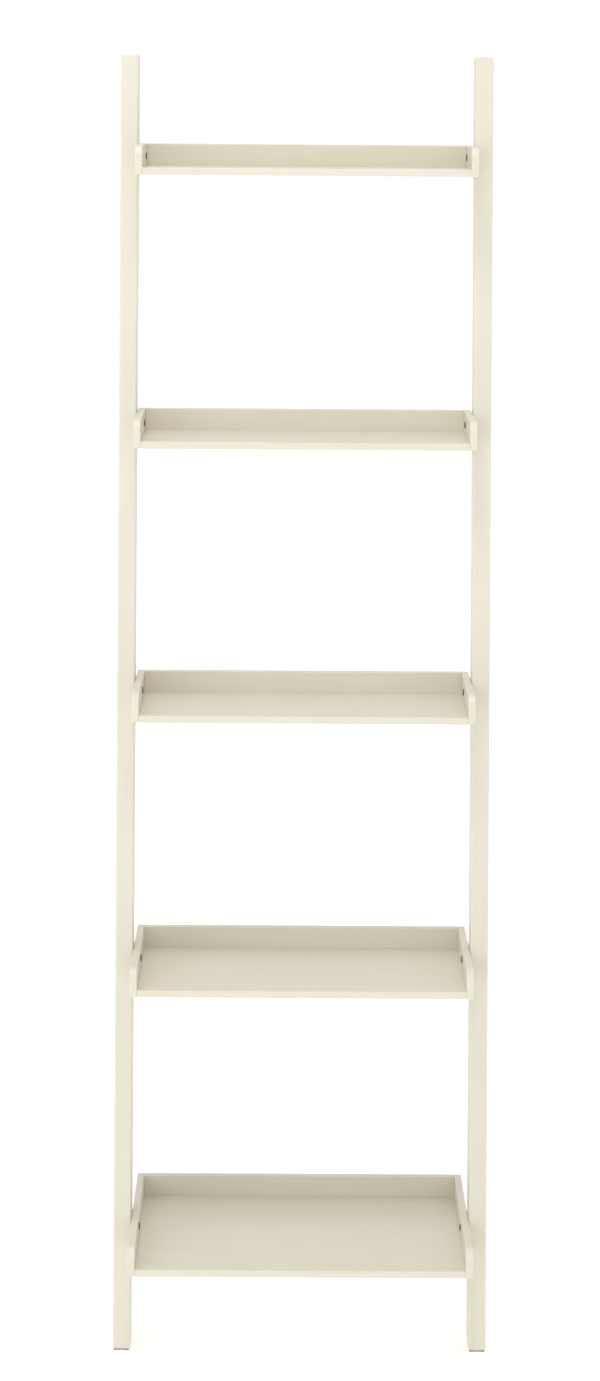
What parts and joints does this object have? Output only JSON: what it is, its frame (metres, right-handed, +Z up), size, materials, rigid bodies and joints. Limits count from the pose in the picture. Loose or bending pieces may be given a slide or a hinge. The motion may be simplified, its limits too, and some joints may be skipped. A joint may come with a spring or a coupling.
{
  "type": "ladder shelf",
  "caption": "Leaning ladder shelf: two side rails lean back to a wall and carry open-fronted trays that get deeper towards the floor.",
  "frame": {"origin": "bottom centre of the whole shelf's box, on the floor", "axes": "+Z up, the open fronts of the trays face -Y, the wall is on the +Y side, +X to the right of a person facing the shelf"},
  "size_m": [0.53, 0.3684, 1.825],
  "materials": {
    "cream_paint": "satin cream paint, brushed on, over a fine-grained wood",
    "dark_steel": "blackened steel",
    "zinc_steel": "bright zinc plate",
    "beech": "bare fluted beech",
    "foot_rubber": "matt moulded rubber"
  },
  "bodies": {
    "root": {"foot_pad_left": "foot_rubber", "foot_pad_right": "foot_rubber", "hanger_screw_left_lower": "zinc_steel", "hanger_screw_left_upper": "zinc_steel", "hanger_screw_right_lower": "zinc_steel", "hanger_screw_right_upper": "zinc_steel", "rail_left": "cream_paint", "rail_right": "cream_paint", "tray_1_back": "cream_paint", "tray_1_board": "cream_paint", "tray_1_bolt_left": "dark_steel", "tray_1_bolt_right": "dark_steel", "tray_1_dowel_left": "beech", "tray_1_dowel_right": "beech", "tray_1_insert_left": "zinc_steel", "tray_1_insert_right": "zinc_steel", "tray_1_side_left": "cream_paint", "tray_1_side_right": "cream_paint", "tray_2_back": "cream_paint", "tray_2_board": "cream_paint", "tray_2_bolt_left": "dark_steel", "tray_2_bolt_right": "dark_steel", "tray_2_dowel_left": "beech", "tray_2_dowel_right": "beech", "tray_2_insert_left": "zinc_steel", "tray_2_insert_right": "zinc_steel", "tray_2_side_left": "cream_paint", "tray_2_side_right": "cream_paint", "tray_3_back": "cream_paint", "tray_3_board": "cream_paint", "tray_3_bolt_left": "dark_steel", "tray_3_bolt_right": "dark_steel", "tray_3_dowel_left": "beech", "tray_3_dowel_right": "beech", "tray_3_insert_left": "zinc_steel", "tray_3_insert_right": "zinc_steel", "tray_3_side_left": "cream_paint", "tray_3_side_right": "cream_paint", "tray_4_back": "cream_paint", "tray_4_board": "cream_paint", "tray_4_bolt_left": "dark_steel", "tray_4_bolt_right": "dark_steel", "tray_4_dowel_left": "beech", "tray_4_dowel_right": "beech", "tray_4_insert_left": "zinc_steel", "tray_4_insert_right": "zinc_steel", "tray_4_side_left": "cream_paint", "tray_4_side_right": "cream_paint", "tray_5_back": "cream_paint", "tray_5_board": "cream_paint", "tray_5_bolt_left": "dark_steel", "tray_5_bolt_right": "dark_steel", "tray_5_dowel_left": "beech", "tray_5_dowel_right": "beech", "tray_5_insert_left": "zinc_steel", "tray_5_insert_right": "zinc_steel", "tray_5_side_left": "cream_paint", "tray_5_side_right": "cream_paint", "wall_hanger_left": "zinc_steel", "wall_hanger_right": "zinc_steel"}
  },
  "joints": []
}
